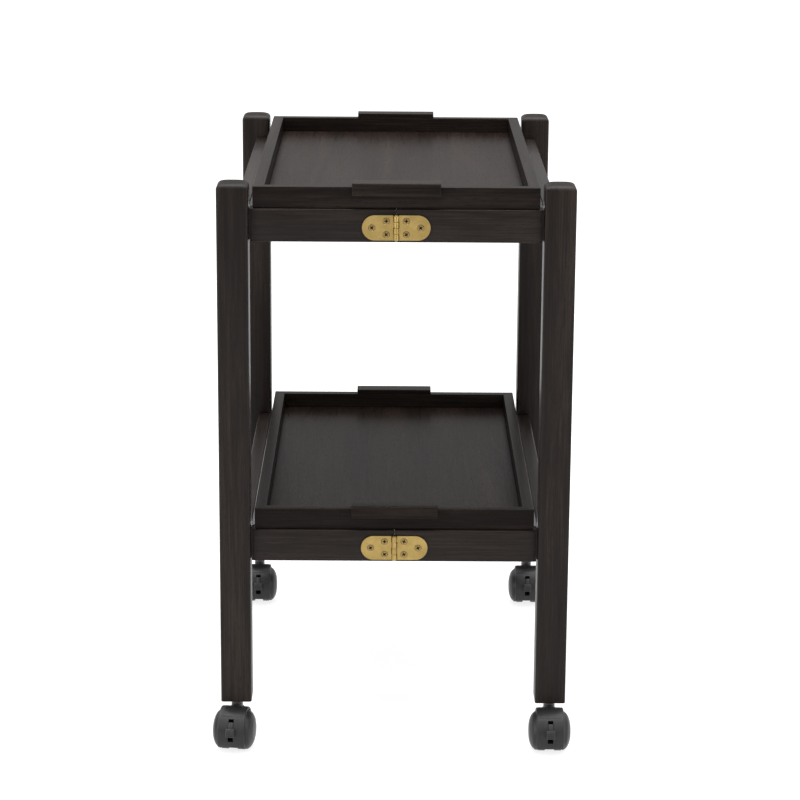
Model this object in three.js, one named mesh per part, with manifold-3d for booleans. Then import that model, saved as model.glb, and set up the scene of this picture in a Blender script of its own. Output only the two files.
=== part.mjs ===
// Folding bar cart on twin-wheel casters: two side frames joined by four hinged stretchers, with two
// lift-out trays. Millimetres, +Z up, standing on z = 0. The front end faces -Y, and the box of the whole
// cart is centred on x = y = 0.
// Most pieces are drawn once for the rear right quarter (x and y positive) and mirrored to the other three.
import * as THREE from 'three';
import { mergeVertices } from 'three/addons/utils/BufferGeometryUtils.js';
import Module from 'manifold-3d';

const wasm = await Module();
wasm.setup();

// ---- driving dimensions ----
const CART_WIDTH = 430; // over the outer faces of the legs
const CART_DEPTH = 610; // over the front and rear faces of the legs
const LEG = 38; // square section
const LEG_TOP = 716;
const LEG_BOTTOM = 61;
const LEG_EDGES = { upright: 2.5, foot: 1 }; // the rounding up each leg and the small chamfer under it
const LEG_DOME = { width: 10, height: 7.5, steps: 4 }; // how far the rounded top draws in and drops
const TENON = { thickness: 8, height: 28, length: 16 };
const GAP = 0.3; // clearance between touching pieces

const BAR_HEIGHT = 40;
const BAR_THICKNESS = 18;
const BAR_SETBACK = 8; // from the leg's end face to the bar's outer face
const BAR_MIDDLE_GAP = GAP / 2; // from the cart's middle plane to each half-bar
const BAR_END_GAP = 3; // from each bar's outer end to the leg, filled by the hinge leaves
const BAR_EDGE = 2; // rounding along bars and rails
const LEVELS = { upper: 684.5, lower: 284 }; // top faces of the bars and rails

const TRAY = { width: 344, depth: 587, height: 26, wall: 14, rim: 1.6 };
const PANEL = { thickness: 5, underside: 1.5, tongue: 5, tongueThickness: 3 };
const HANDLE = { length: 106, proud: 11, rise: 6, drop: 16, nose: 3, edge: 1.5 };

const CENTRE_HINGE = { half: 41, height: 30.5, thickness: 2, barrel: 3.25, pin: 1.7, drop: 2 };
const CENTRE_SCREWS = [[29.3, 0], [12, 8.2], [12, -8.2]]; // across and up from the hinge's middle
const PLATE_START = 0.45; // from the barrel's side to the plate of each centre leaf
const END_HINGE = { height: 38, thickness: 1.1, barrel: 3, pin: 1.4, edge: 290, screw: 285 };
const END_SCREWS = [-12, 12];
const SCREW = { radius: 1.6, length: 13, clearance: 0.4 };
const PIN_SIDES = 8;
const PIN_HEAD = { below: 0.6, above: 1.2 }; // how far the centre pin stands out of its knuckles
const END_PIN_PROUD = 0.8;

const WHEEL = { radius: 25, axle: 3, treadInner: 5, treadOuter: 15, bulge: 11.5 };
const TRAIL = 18; // from the swivel axis to the axle
const HOOD = { outer: 28.6, inner: 26, half: 17, web: 4.6, front: -36, back: 165 };
const AXLE_BOSS = { radius: 8, bore: 3.6 };
const NECK = { radius: 7.2, low: 42 }; // the collar between the hood and the leg
const STEM = { radius: 4.5, length: 31 };
const SLOT = { half: 3.4, inner: 11, outer: 40, low: -14.5, high: 45.5 };
const LEVER = { half: 3, inner: 11.6, outer: 29.4, low: 2, high: 36.5 };
const TAB = { half: 5.5, inner: 29, outer: 33.3, low: 1, high: 20.5 };
const FRONT_LEFT_SWIVEL = THREE.MathUtils.degToRad(-8);

// ---- places worked out from them ----
const legX = (CART_WIDTH - LEG) / 2;
const legY = (CART_DEPTH - LEG) / 2;
const innerFace = CART_WIDTH / 2 - LEG;
const barOuter = CART_DEPTH / 2 - BAR_SETBACK;
const barInner = barOuter - BAR_THICKNESS;
const barEnd = innerFace - BAR_END_GAP;
const centrePinY = barOuter + GAP + CENTRE_HINGE.barrel + 0.05;
const endPinX = innerFace - GAP - END_HINGE.barrel;
const endPinY = barInner - END_HINGE.barrel - 0.4;

// ---- shape helpers ----
function toSolid(geometry) {
  const bare = geometry.clone();
  bare.deleteAttribute('normal');
  bare.deleteAttribute('uv');
  const merged = mergeVertices(bare, 1e-4);
  return new wasm.Manifold(new wasm.Mesh({
    numProp: 3,
    vertProperties: new Float32Array(merged.attributes.position.array),
    triVerts: new Uint32Array(merged.index.array),
  }));
}

function toGeometry(solid) {
  const mesh = solid.getMesh();
  const geometry = new THREE.BufferGeometry();
  geometry.setAttribute('position', new THREE.BufferAttribute(mesh.vertProperties, 3));
  geometry.setIndex(new THREE.BufferAttribute(mesh.triVerts, 1));
  const flat = geometry.toNonIndexed();
  flat.computeVertexNormals();
  return flat;
}

// One body from the pieces in add, less the ones in cut.
function combine(add, cut = []) {
  let solid = toSolid(add[0]);
  for (const piece of add.slice(1)) solid = solid.add(toSolid(piece));
  for (const piece of cut) solid = solid.subtract(toSolid(piece));
  return toGeometry(solid);
}

// The quarter's piece moved to the side (-1 left, 1 right) and end (-1 front, 1 rear) it belongs to.
function mirrored(geometry, side, end) {
  const copy = geometry.index ? geometry.toNonIndexed() : geometry.clone();
  copy.scale(side, end, 1);
  if (side * end < 0) {
    const points = copy.attributes.position.array;
    for (let i = 0; i < points.length; i += 9) {
      for (let k = 0; k < 3; k++) {
        const held = points[i + 3 + k];
        points[i + 3 + k] = points[i + 6 + k];
        points[i + 6 + k] = held;
      }
    }
  }
  copy.computeVertexNormals();
  return copy;
}

function box(low, high) {
  const size = high.map((value, axis) => value - low[axis]);
  const geometry = new THREE.BoxGeometry(...size);
  return geometry.translate(...low.map((value, axis) => value + size[axis] / 2));
}

function upright(radius, low, high, x, y, sides = 10) {
  const geometry = new THREE.CylinderGeometry(radius, radius, high - low, sides);
  return geometry.rotateX(Math.PI / 2).translate(x, y, (low + high) / 2);
}

function roundedRectangle(width, height, radius) {
  const [w, h] = [width / 2 - radius, height / 2 - radius];
  const shape = new THREE.Shape();
  shape.absarc(w, -h, radius, -Math.PI / 2, 0);
  shape.absarc(w, h, radius, 0, Math.PI / 2);
  shape.absarc(-w, h, radius, Math.PI / 2, Math.PI);
  shape.absarc(-w, -h, radius, Math.PI, 1.5 * Math.PI);
  return shape;
}

function extrude(shape, length, curveSegments) {
  const settings = { depth: length, bevelEnabled: false, curveSegments };
  return new THREE.ExtrudeGeometry(shape, settings).translate(0, 0, -length / 2);
}

// Shape x, y and length become Y, Z and X.
function alongX(shape, length, curveSegments = 2) {
  return extrude(shape, length, curveSegments).rotateX(Math.PI / 2).rotateZ(Math.PI / 2);
}

// Shape x, y and length become X, Z and -Y.
function alongY(shape, length, curveSegments = 2) {
  return extrude(shape, length, curveSegments).rotateX(Math.PI / 2);
}

// A closed body through rings of the same number of points, given from low to high.
function loft(rings) {
  const count = rings[0].length;
  const positions = rings.flat().flatMap((point) => point.toArray());
  const index = [];
  for (let ring = 0; ring < rings.length - 1; ring++) {
    for (let i = 0; i < count; i++) {
      const [a, b] = [ring * count + i, ring * count + ((i + 1) % count)];
      index.push(a, b, b + count, a, b + count, a + count);
    }
  }
  const top = (rings.length - 1) * count;
  for (let i = 1; i < count - 1; i++) {
    index.push(0, i + 1, i, top, top + i, top + i + 1);
  }
  const geometry = new THREE.BufferGeometry();
  geometry.setAttribute('position', new THREE.Float32BufferAttribute(positions, 3));
  geometry.setIndex(index);
  return geometry;
}

// A closed profile of [distance in from the outer edge, height] carried round a rectangle, with mitred
// corners.
function mitredFrame(width, depth, profile) {
  const corners = [[1, -1], [1, 1], [-1, 1], [-1, -1]];
  const positions = [];
  for (const [x, y] of corners) {
    for (const [inset, z] of profile) {
      positions.push(x * (width / 2 - inset), y * (depth / 2 - inset), z);
    }
  }
  const count = profile.length;
  const index = [];
  for (let corner = 0; corner < corners.length; corner++) {
    const [here, next] = [corner * count, ((corner + 1) % corners.length) * count];
    for (let i = 0; i < count; i++) {
      const j = (i + 1) % count;
      index.push(here + i, next + j, next + i, here + i, here + j, next + j);
    }
  }
  const geometry = new THREE.BufferGeometry();
  geometry.setAttribute('position', new THREE.Float32BufferAttribute(positions, 3));
  geometry.setIndex(index);
  return geometry;
}

// ---- screws: only their shanks show inside the wood, the heads are flush with the leaf ----
function screwAlongY(x, z, radius, from, to) {
  const geometry = new THREE.CylinderGeometry(radius, radius, to - from, 6);
  return geometry.translate(x, (from + to) / 2, z);
}

function screwAlongX(y, z, radius, from, to) {
  const geometry = new THREE.CylinderGeometry(radius, radius, to - from, 6);
  return geometry.rotateZ(Math.PI / 2).translate((from + to) / 2, y, z);
}

const screwBite = GAP + 0.5; // how far a shank reaches through the gap into its leaf

function barMiddle(level) {
  return LEVELS[level] - BAR_HEIGHT / 2;
}

// With room, each set of shanks becomes the slightly wider and deeper holes that take them.
function centreScrews(level, room = 0) {
  const z = barMiddle(level) - CENTRE_HINGE.drop;
  const [from, to] = [barOuter - SCREW.length - 2 * room, barOuter + screwBite];
  return CENTRE_SCREWS.map(([x, dz]) => screwAlongY(x, z + dz, SCREW.radius + room, from, to));
}

function barEndScrews(level, room = 0) {
  const [from, to] = [barEnd - SCREW.length - 2 * room, barEnd + screwBite];
  const z = barMiddle(level);
  return END_SCREWS.map((dz) => screwAlongX(END_HINGE.screw, z + dz, SCREW.radius + room, from, to));
}

function legScrews(level, room = 0) {
  const [from, to] = [innerFace - screwBite, innerFace + SCREW.length + 2 * room];
  const z = barMiddle(level);
  return END_SCREWS.map((dz) => screwAlongX(END_HINGE.screw, z + dz, SCREW.radius + room, from, to));
}

// ---- legs and side rails ----
function tenon(level, clearance) {
  const [x, z, y] = [innerFace + BAR_THICKNESS / 2, barMiddle(level), legY - LEG / 2];
  const [w, h] = [TENON.thickness / 2 + clearance, TENON.height / 2 + clearance];
  return box([x - w, y - 2, z - h], [x + w, y + TENON.length + clearance, z + h]);
}

function leg() {
  const { upright: edge, foot } = LEG_EDGES;
  const { width, height, steps } = LEG_DOME;
  const stations = [[foot, LEG_BOTTOM], [0, LEG_BOTTOM + foot]];
  for (let step = 0; step <= steps; step++) {
    const angle = (step / steps) * (Math.PI / 2);
    stations.push([width * (1 - Math.cos(angle)), LEG_TOP - height + height * Math.sin(angle)]);
  }
  const rings = stations.map(([inset, z]) => {
    const side = LEG - 2 * inset;
    const outline = roundedRectangle(side, side, edge + inset / 2).getPoints(2);
    return outline.slice(0, -1).map((p) => new THREE.Vector3(legX + p.x, legY + p.y, z));
  });
  const boreTop = LEG_BOTTOM + STEM.length + 2;
  const cuts = [upright(STEM.radius + SCREW.clearance, LEG_BOTTOM - 1, boreTop, legX, legY)];
  for (const level of Object.keys(LEVELS)) {
    cuts.push(tenon(level, GAP), ...legScrews(level, SCREW.clearance));
  }
  return combine([loft(rings)], cuts);
}

function rail(level) {
  const length = 2 * (legY - LEG / 2 - GAP);
  const section = roundedRectangle(BAR_THICKNESS, BAR_HEIGHT, BAR_EDGE);
  const body = alongY(section, length).translate(innerFace + BAR_THICKNESS / 2, 0, barMiddle(level));
  return combine([body, tenon(level, 0), mirrored(tenon(level, 0), 1, -1)]);
}

// ---- folding bars and their hinges ----
function bar(level) {
  const length = barEnd - BAR_MIDDLE_GAP;
  const section = roundedRectangle(BAR_THICKNESS, BAR_HEIGHT, BAR_EDGE);
  const place = [BAR_MIDDLE_GAP + length / 2, (barInner + barOuter) / 2, barMiddle(level)];
  const holes = [...centreScrews(level, SCREW.clearance), ...barEndScrews(level, SCREW.clearance)];
  return combine([alongX(section, length).translate(...place)], holes);
}

// Knuckles are counted from the top; owned lists the ones that belong to this leaf.
function centreLeaf(level, owned, holdsPin) {
  const { half, height, thickness, barrel, pin } = CENTRE_HINGE;
  const middle = barMiddle(level) - CENTRE_HINGE.drop;
  const top = middle + height / 2;
  const pitch = height / 4;
  const end = height / 2;
  const outline = new THREE.Shape();
  outline.moveTo(barrel + PLATE_START, end);
  outline.lineTo(barrel + PLATE_START, -end);
  outline.absarc(half - end, 0, end, -Math.PI / 2, Math.PI / 2);
  const plateY = barOuter + GAP + thickness / 2;
  const add = [alongY(outline, thickness, 8).translate(0, plateY, middle), ...centreScrews(level)];
  for (const knuckle of owned) {
    const [high, low] = [top - knuckle * pitch - GAP / 2, top - (knuckle + 1) * pitch + GAP / 2];
    add.push(upright(barrel, low, high, 0, centrePinY));
    add.push(box([0, plateY - thickness / 2, low], [barrel + 1, plateY + thickness / 2, high]));
  }
  if (holdsPin) {
    const [low, high] = [middle - height / 2 - PIN_HEAD.below, top + PIN_HEAD.above];
    add.push(upright(pin, low, high, 0, centrePinY, PIN_SIDES));
    return combine(add);
  }
  return combine(add, [upright(pin + GAP, middle - height, middle + height, 0, centrePinY, PIN_SIDES)]);
}

// The end hinges stand in the gap between bar and leg, with their barrels behind the bar.
function legLeaf(level) {
  const { height, thickness, barrel, pin, edge } = END_HINGE;
  const middle = barMiddle(level);
  const [near, far] = [innerFace - GAP - thickness, innerFace - GAP];
  const plate = box([near, barInner - 1, middle - height / 2], [far, edge, middle + height / 2]);
  const add = [plate, ...legScrews(level)];
  for (const sign of [-1, 1]) {
    const knuckle = [sign * (height / 6 + GAP / 2), sign * (height / 2)].sort((a, b) => a - b);
    const [low, high] = knuckle.map((dz) => middle + dz);
    add.push(upright(barrel, low, high, endPinX, endPinY, PIN_SIDES));
    add.push(box([near, endPinY, low], [far, barInner, high]));
  }
  const reach = height / 2 + END_PIN_PROUD;
  add.push(upright(pin, middle - reach, middle + reach, endPinX, endPinY, PIN_SIDES));
  return combine(add);
}

function barLeaf(level) {
  const { height, thickness, barrel, pin, edge } = END_HINGE;
  const middle = barMiddle(level);
  const half = height / 6 - GAP / 2;
  const [near, far] = [barEnd + GAP, barEnd + GAP + thickness - 0.1];
  const plate = box([near, barInner, middle - height / 2], [far, edge, middle + height / 2]);
  const tab = box([near, endPinY + 1, middle - half], [far, barInner + 1, middle + half]);
  const knuckle = upright(barrel, middle - half, middle + half, endPinX, endPinY, PIN_SIDES);
  const bore = upright(pin + GAP, middle - height, middle + height, endPinX, endPinY, PIN_SIDES);
  return combine([plate, tab, knuckle, ...barEndScrews(level)], [bore]);
}

// ---- trays ----
function trayBottom(level) {
  return LEVELS[level] + GAP;
}

function trayFrame(level) {
  const { width, depth, height, wall, rim } = TRAY;
  const [grooveLow, grooveHigh] = [PANEL.underside - GAP, PANEL.underside + PANEL.tongueThickness + GAP];
  const grooveFloor = wall - PANEL.tongue - GAP;
  const bend = rim * (1 - Math.SQRT1_2); // the rim's roundings turn the corner in two steps
  const profile = [
    [0, 1], [1, 0], [wall, 0], [wall, grooveLow], [grooveFloor, grooveLow],
    [grooveFloor, grooveHigh], [wall, grooveHigh], [wall, height - rim],
    [wall - bend, height - bend], [wall - rim, height], [rim, height],
    [bend, height - bend], [0, height - rim],
  ];
  return combine([mitredFrame(width, depth, profile).translate(0, 0, trayBottom(level))]);
}

function trayPanel(level) {
  const [w, d] = [TRAY.width / 2 - TRAY.wall - GAP, TRAY.depth / 2 - TRAY.wall - GAP];
  const low = trayBottom(level) + PANEL.underside;
  const tongueTop = low + PANEL.tongueThickness;
  const body = box([-w, -d, low], [w, d, low + PANEL.thickness]);
  const reach = PANEL.tongue;
  return combine([body, box([-w - reach, -d - reach, low], [w + reach, d + reach, tongueTop])]);
}

// Drawn at the rear end: y is positive outwards from the wall's outer face.
function trayHandle(level) {
  const { length, proud, rise, drop, nose, edge } = HANDLE;
  const [outer, inner] = [GAP + proud, -TRAY.wall];
  const [top, under, bottom] = [GAP + rise, GAP, GAP + rise - drop];
  const section = new THREE.Shape();
  section.moveTo(inner, under);
  section.lineTo(GAP, under);
  section.lineTo(GAP, bottom);
  section.absarc(outer - edge, bottom + edge, edge, -Math.PI / 2, 0);
  section.absarc(outer - nose, top - nose, nose, 0, Math.PI / 2);
  section.absarc(inner + edge, top - edge, edge, Math.PI / 2, Math.PI);
  const place = [0, TRAY.depth / 2, trayBottom(level) + TRAY.height];
  return combine([alongX(section, length, 4).translate(...place)]);
}

// ---- casters: drawn with the swivel axis on x = y = 0 and the axle towards -Y ----
// A sector of a ring round the axle, with angles in degrees up from the front.
function axleSector(inner, outer, low, high, halfWidth, steps = 12) {
  const [from, to] = [low, high].map((angle) => Math.PI - THREE.MathUtils.degToRad(angle));
  const shape = new THREE.Shape();
  shape.absarc(0, 0, outer, from, to, true);
  if (inner > 0) shape.absarc(0, 0, inner, to, from, false);
  else shape.lineTo(0, 0);
  return alongX(shape, 2 * halfWidth, steps).translate(0, -TRAIL, WHEEL.radius);
}

function axleRod(radius, from, to, sides = 24) {
  const geometry = new THREE.CylinderGeometry(radius, radius, to - from, sides);
  return geometry.rotateZ(Math.PI / 2).translate((from + to) / 2, -TRAIL, WHEEL.radius);
}

function casterHood() {
  const { outer, inner, half, web, front, back } = HOOD;
  const beyond = 60;
  const add = [
    axleSector(0, outer, front, back, half, 14),
    axleRod(AXLE_BOSS.radius, -web, web, 12),
    upright(NECK.radius, NECK.low, LEG_BOTTOM - 0.5, 0, 0, 12),
    upright(STEM.radius, NECK.low, LEG_BOTTOM + STEM.length, 0, 0),
  ];
  const cut = [
    axleRod(inner, web, beyond),
    axleRod(inner, -beyond, -web),
    axleRod(AXLE_BOSS.bore, -beyond, beyond, 8),
    axleSector(SLOT.inner, SLOT.outer, SLOT.low, SLOT.high, SLOT.half, 4),
  ];
  return combine(add, cut);
}

function casterWheels() {
  const { radius, axle, treadInner, treadOuter, bulge } = WHEEL;
  const steps = 4;
  const half = [[axle, treadInner], [radius, treadInner]];
  for (let step = 0; step < steps; step++) {
    const angle = (step / steps) * (Math.PI / 2);
    half.push([radius * Math.cos(angle) ** 0.8, treadOuter + bulge * Math.sin(angle)]);
  }
  half.push([0, treadOuter + bulge]);
  const other = half.map(([distance, along]) => [distance, -along]).reverse();
  const profile = [...other, ...half].map(([distance, along]) => new THREE.Vector2(distance, along));
  const lathe = new THREE.LatheGeometry(profile, 20).rotateZ(-Math.PI / 2);
  return combine([lathe.translate(0, -TRAIL, radius)]);
}

function brakeLever() {
  const arm = axleSector(LEVER.inner, LEVER.outer, LEVER.low, LEVER.high, LEVER.half, 3);
  const tab = axleSector(TAB.inner, TAB.outer, TAB.low, TAB.high, TAB.half, 3);
  return combine([arm, tab]);
}

// ---- materials ----
const wood = { color: 0x2e2a29, roughness: 0.5, metalness: 0 };
const blackened = { color: 0x24221f, roughness: 0.45, metalness: 1 };
const brass = { color: 0xd2ac5e, roughness: 0.3, metalness: 1 };
const plastic = { color: 0x4b4a4c, roughness: 0.55, metalness: 0 };

const cart = new THREE.Group();

function addPiece(parent, name, geometry, finish) {
  const mesh = new THREE.Mesh(geometry, new THREE.MeshStandardMaterial(finish));
  mesh.name = name;
  parent.add(mesh);
}

// ---- assembly ----
const sides = [['left', -1], ['right', 1]];
const ends = [['front', -1], ['rear', 1]];

for (const [sideName, side] of sides) {
  for (const [endName, end] of ends) {
    addPiece(cart, `${endName}_${sideName}_leg`, mirrored(leg(), side, end), wood);
  }
}

for (const level of Object.keys(LEVELS)) {
  for (const [sideName, side] of sides) {
    addPiece(cart, `${level}_${sideName}_rail`, mirrored(rail(level), side, 1), wood);
    const owned = side > 0 ? [0, 2] : [1, 3];
    for (const [endName, end] of ends) {
      const name = `${endName}_${level}_${sideName}`;
      const centre = centreLeaf(level, owned, side > 0);
      addPiece(cart, `${name}_bar`, mirrored(bar(level), side, end), wood);
      addPiece(cart, `${name}_centre_leaf`, mirrored(centre, side, end), brass);
      addPiece(cart, `${name}_bar_leaf`, mirrored(barLeaf(level), side, end), blackened);
      addPiece(cart, `${name}_leg_leaf`, mirrored(legLeaf(level), side, end), blackened);
    }
  }
  addPiece(cart, `${level}_tray_frame`, trayFrame(level), wood);
  addPiece(cart, `${level}_tray_panel`, trayPanel(level), wood);
  for (const [endName, end] of ends) {
    addPiece(cart, `${level}_tray_${endName}_handle`, mirrored(trayHandle(level), 1, end), wood);
  }
}

for (const [sideName, side] of sides) {
  for (const [endName, end] of ends) {
    const name = `${endName}_${sideName}`;
    const caster = new THREE.Group();
    caster.position.set(side * legX, end * legY, 0);
    if (side < 0 && end < 0) caster.rotation.z = FRONT_LEFT_SWIVEL;
    addPiece(caster, `${name}_caster_hood`, casterHood(), plastic);
    addPiece(caster, `${name}_caster_wheels`, casterWheels(), plastic);
    addPiece(caster, `${name}_brake_lever`, brakeLever(), plastic);
    cart.add(caster);
  }
}

// The origin is on the floor, under the middle of the cart's box.
const bounds = new THREE.Box3().setFromObject(cart, true);
const middle = bounds.getCenter(new THREE.Vector3());
cart.position.set(-middle.x, -middle.y, 0);

export default cart;
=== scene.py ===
import itertools
import math

import bmesh
import bpy
from mathutils import Matrix, Vector


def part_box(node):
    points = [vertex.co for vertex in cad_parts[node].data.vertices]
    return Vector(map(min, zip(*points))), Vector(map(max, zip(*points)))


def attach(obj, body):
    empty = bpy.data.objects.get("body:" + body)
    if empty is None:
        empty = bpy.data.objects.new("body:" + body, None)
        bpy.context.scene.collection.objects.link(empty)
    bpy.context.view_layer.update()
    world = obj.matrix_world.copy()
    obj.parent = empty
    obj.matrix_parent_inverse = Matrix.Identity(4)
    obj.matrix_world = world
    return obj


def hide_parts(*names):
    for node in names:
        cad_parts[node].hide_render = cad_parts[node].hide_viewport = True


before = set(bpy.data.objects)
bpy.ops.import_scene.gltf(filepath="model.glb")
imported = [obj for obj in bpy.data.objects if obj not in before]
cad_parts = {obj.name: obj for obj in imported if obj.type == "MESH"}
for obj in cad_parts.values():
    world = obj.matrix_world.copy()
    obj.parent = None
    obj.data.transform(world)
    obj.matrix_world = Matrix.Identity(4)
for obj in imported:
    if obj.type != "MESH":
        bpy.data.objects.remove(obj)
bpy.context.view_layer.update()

MM = 0.001
SIDES = {"left": -1, "right": 1}
ENDS = {"front": -1, "rear": 1}
LEVELS = ("upper", "lower")

# ---------------------------------------------------------------- driving dimensions: millimetres and degrees
# Where the camera stands, from the cart's middle on the floor, and how it is turned.
CAMERA_PLACE = Vector((-9, -3342, 1234))
CAMERA_YAW = -0.28
CAMERA_PITCH = 14.44
CAMERA_ROLL = 0.4
CAMERA_LENS = 116.4
CAMERA_SENSOR = 36
CAMERA_REACH = 100

# A leg's rounded upright edges, eased foot and domed top, and the room round the caster's stem in its bore.
LEG = {"edge": 2.5, "foot": 1, "dome_width": 10, "dome_height": 7.5, "dome_steps": 8}
LEG_BORE_ROOM = {"round": 0.4, "above": 2}
# Rails and bars: how far the long edges and the ends are rounded, and the clearances at their ends.
STICK_EDGE = 1.4
RAIL_END = 0.7
RAIL_LEG_GAP = 0.2
BAR_END = 0.8
BAR_MIDDLE_GAP = 0.03

# Tray walls: thickness, the groove for the panel, the rounded top arrises and the open mitre seam.
WALL = 14
GROOVE_FLOOR = 8.7
GROOVE = (1.2, 4.8)
ARRIS = 1.0
WALL_FOOT = 1
MITRE_SEAM = 0.06
PANEL = {"tongue": 5, "tongue_height": 3, "edge": 0.3}
HANDLE = {"outer_round": 2.4, "inner_round": 1.2, "foot_round": 2, "end_round": 1.2}
HANDLE_GAP = {"rim": 0.15, "wall": 0.2}

# Centre hinges. Screw places are [distance from the pin, height from the leaf's middle].
LEAF = {"half": 41, "height": 30.5, "thickness": 2, "barrel": 3.25, "pin": 1.55, "bevel": 0.35}
LEAF_STAND_OFF = 0.3
LEAF_BARREL_GAP = 0.45
KNUCKLES = 4
KNUCKLE_GAP = 0.15
KNUCKLE_WEB = 4.4
PIN_ROOM = 0.12
PIN_HEAD = 2.35
SCREWS = ((29.3, 0), (12, 8.2), (12, -8.2))
SCREW_HEAD = 3.9
SCREW_CROWN = 0.28
SCREW_SUNK = 0.12
SCREW_SHANK = 1.5
SCREW_HOLE = 2.2
# How much further each screw is turned than the one before, in radians.
SCREW_TURN = 0.77
CROSS = {"arm": 2.5, "width": 0.75, "depth": 2.4, "shrink": 0.55}

# Casters, drawn with the swivel axis on Z and the axle along X. Angles go up round the axle from the front.
AXLE = Vector((0, -18, 25))
AXLE_ROD = {"radius": 3, "half": 5.2, "chamfer": 0.2, "bore": 3.5}
HOOD = {"outer": 28.6, "inner": 25.9, "half": 17, "web": 4.6, "front": -36, "back": 165, "round": 1.2}
HUB = 8
RIDGE = {"proud": 0.25, "low": 52, "high": 118, "inner": 20, "half": 13.8, "round": 0.3}
SLOT = {"half": 3.4, "inner": 11, "low": -14.5, "high": 45.5}
LEVER = {"half": 3, "inner": 11.6, "outer": 29.3, "low": 2, "high": 36.5, "round": 0.4}
TAB = {"half": 5.5, "inner": 29.1, "outer": 33.2, "low": 1, "high": 20.5, "round": 0.9}
TAB_GROOVE = {"half": 4.2, "inner": 32.4, "outer": 34, "height": 1.6, "round": 0.2}
TAB_GROOVE_STARTS = (3.4, 7.4, 11.4)
COLLAR = {"wall": 2.4, "low": 36, "high": 48.4, "chamfer": 1.2}
NECK = 7.2
NECK_FOOT = 42
NECK_ROOM = 0.15
LEG_FOOT = 61
STEM = {"radius": 4.4, "length": 31}
STEM_GROOVES = (7.2, 4.6)
WHEEL = {"radius": 25, "inner": 5, "tread": 15, "bulge": 11.45, "dome_steps": 15, "dome_power": 0.8}
WHEEL_STEPS = (4, 9)
CASTER_SMOOTH = 28
# Longer than any caster piece, for tools that cut right through.
THROUGH = 40

# ---------------------------------------------------------------- colours, and texture scales per metre
DARK_STAIN = (0.0040, 0.0024, 0.0019)
MIDDLE_STAIN = (0.0098, 0.0064, 0.0052)
PALE_STAIN = (0.0230, 0.0160, 0.0128)
WORN_STAIN = (0.040, 0.029, 0.023)
STAIN_STOPS = (0.38, 0.50, 0.64)
# How much of the worn stain shows on an arris, and how far from it, in metres.
WEAR = 0.22
WEAR_REACH = 0.0018
# Along the grain first, then across it.
FIGURE_SCALE = (1.6, 26, 26)
FIBRE_SCALE = (14, 520, 520)
PORE_SCALE = (75, 1900, 1900)
SCUFF_SCALE = (40, 90, 90)
# How far apart two pieces start in the grain pattern.
GRAIN_STEP = 1.37
END_GRAIN = {"steepness": 0.8, "sharpness": 5, "darker": 0.7, "duller": 0.35}
BRASS_TONES = ((0.28, 0.196, 0.064), (0.385, 0.273, 0.099))
BRASS_BRUSHED = (160, 2600, 5200)
METAL_TURNED = (300, 300, 4200)
PLASTIC_IOR = 1.36
# How deep the bump is, in metres.
WOOD_RELIEF = 0.00012
METAL_RELIEF = 0.00002
PLASTIC_RELIEF = 0.00003
WHITE = (1.0, 1.0, 1.0, 1.0)
BLACK = (0.0, 0.0, 0.0, 1.0)

# ---------------------------------------------------------------- floor and light: metres and watts
FLOOR_TONES = (0.29, 0.31)
FLOOR_GLOW = 0.80
FLOOR_HALF = 30
BACKDROP = {"radius": 28, "height": 80, "segments": 64}
# The dome's strength grows with the height of a direction's end on the unit sphere.
DOME_HEIGHTS = (0.14, 0.9)
DOME_STRENGTH = (0.35, 2.2)
# Each panel's place, the point it faces, its size and its power.
PANEL_LIGHTS = {
    "overhead": ((0, 0.2, 3.2), (0, 0, 0.4), (2.4, 2.4), 95),
    "left_strip": ((-2.3, -1.8, 0.9), (0, 0, 0.5), (0.4, 1.7), 22),
    "right_strip": ((2.3, -1.8, 0.9), (0, 0, 0.5), (0.4, 1.7), 14),
}


# ---------------------------------------------------------------- places
def millimetres(node):
    low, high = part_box(node)
    return low / MM, high / MM


tray_low, tray_high = millimetres("upper_tray_frame")
MIDDLE = Vector(((tray_low.x + tray_high.x) / 2, (tray_low.y + tray_high.y) / 2, 0))


def cart_box(node):
    """A CAD node's corners in millimetres from the cart's middle."""
    low, high = millimetres(node)
    return low - MIDDLE, high - MIDDLE


def to_row(point):
    """A point drawn in millimetres, as a place in the frame."""
    return (point + MIDDLE) * MM


def add_camera():
    data = bpy.data.cameras.new("camera")
    data.lens = CAMERA_LENS
    data.sensor_width = CAMERA_SENSOR
    data.clip_end = CAMERA_REACH
    camera = bpy.data.objects.new("camera", data)
    bpy.context.scene.collection.objects.link(camera)
    yaw, pitch, roll = (math.radians(a) for a in (CAMERA_YAW, CAMERA_PITCH, CAMERA_ROLL))
    turn = Matrix.Rotation(yaw, 3, "Z") @ Matrix.Rotation(math.pi / 2 - pitch, 3, "X")
    turn = turn @ Matrix.Rotation(roll, 3, "Z")
    camera.matrix_world = Matrix.Translation(to_row(CAMERA_PLACE)) @ turn.to_4x4()
    bpy.context.scene.camera = camera


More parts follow.
